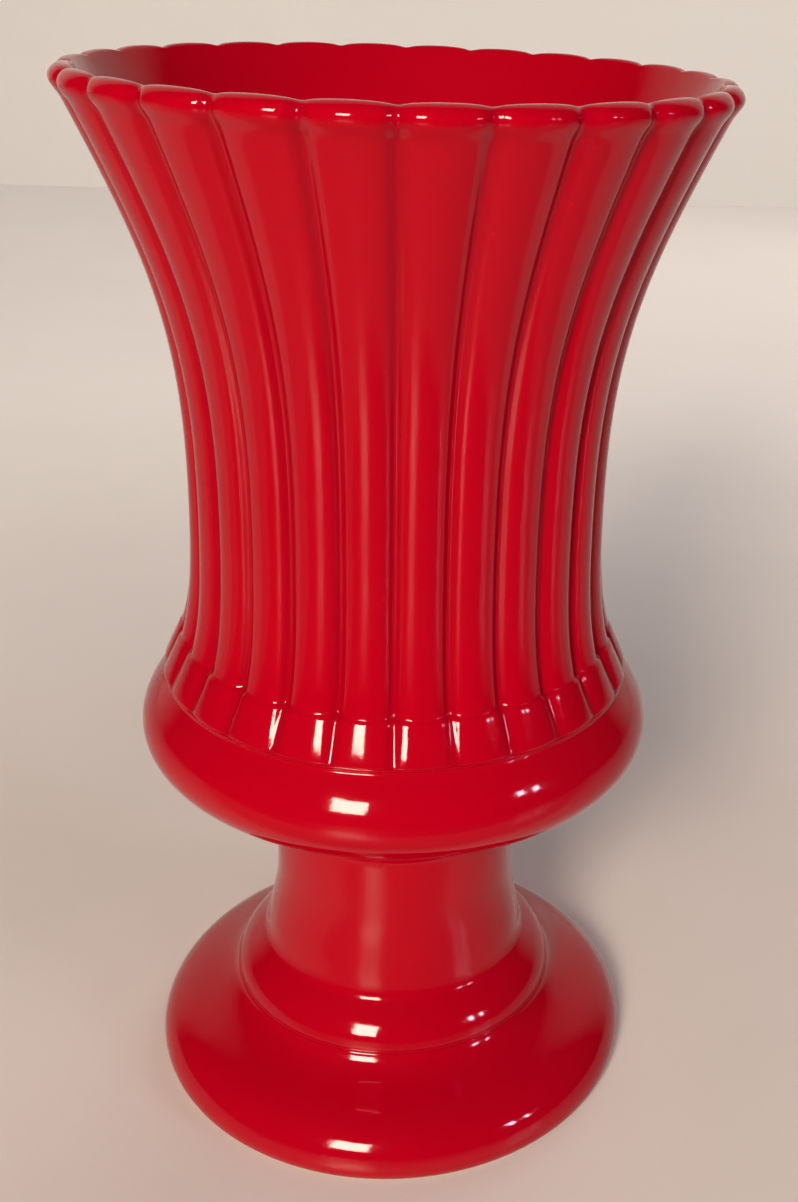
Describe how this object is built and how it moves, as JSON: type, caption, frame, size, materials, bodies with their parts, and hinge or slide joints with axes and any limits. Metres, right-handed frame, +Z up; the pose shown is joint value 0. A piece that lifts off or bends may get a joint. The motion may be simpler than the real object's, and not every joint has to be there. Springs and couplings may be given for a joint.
{
  "type": "footed vase",
  "caption": "Glossy red earthenware vase: a fluted trumpet bell with a scalloped lip on a round bulb, carried by a stepped stem and a spreading hollow foot.",
  "frame": {"origin": "on the resting plane, under the centre of the foot ring", "axes": "+Z up along the turning axis, towards the mouth; -Y is the side that faces the camera in the picture, +X to its right"},
  "size_m": [0.1748, 0.174, 0.305],
  "materials": {
    "red_glaze": "high-gloss transparent red glaze over earthenware",
    "deep_red_glaze": "high-gloss red glaze, a little thicker and darker",
    "slip": "fired slip under red glaze"
  },
  "bodies": {
    "root": {"fluted_bell": "red_glaze", "luting_slip_bell": "slip", "bulb_body": "red_glaze", "luting_slip_stem": "slip", "stem": "deep_red_glaze", "luting_slip_foot": "slip", "foot": "deep_red_glaze"}
  },
  "joints": []
}
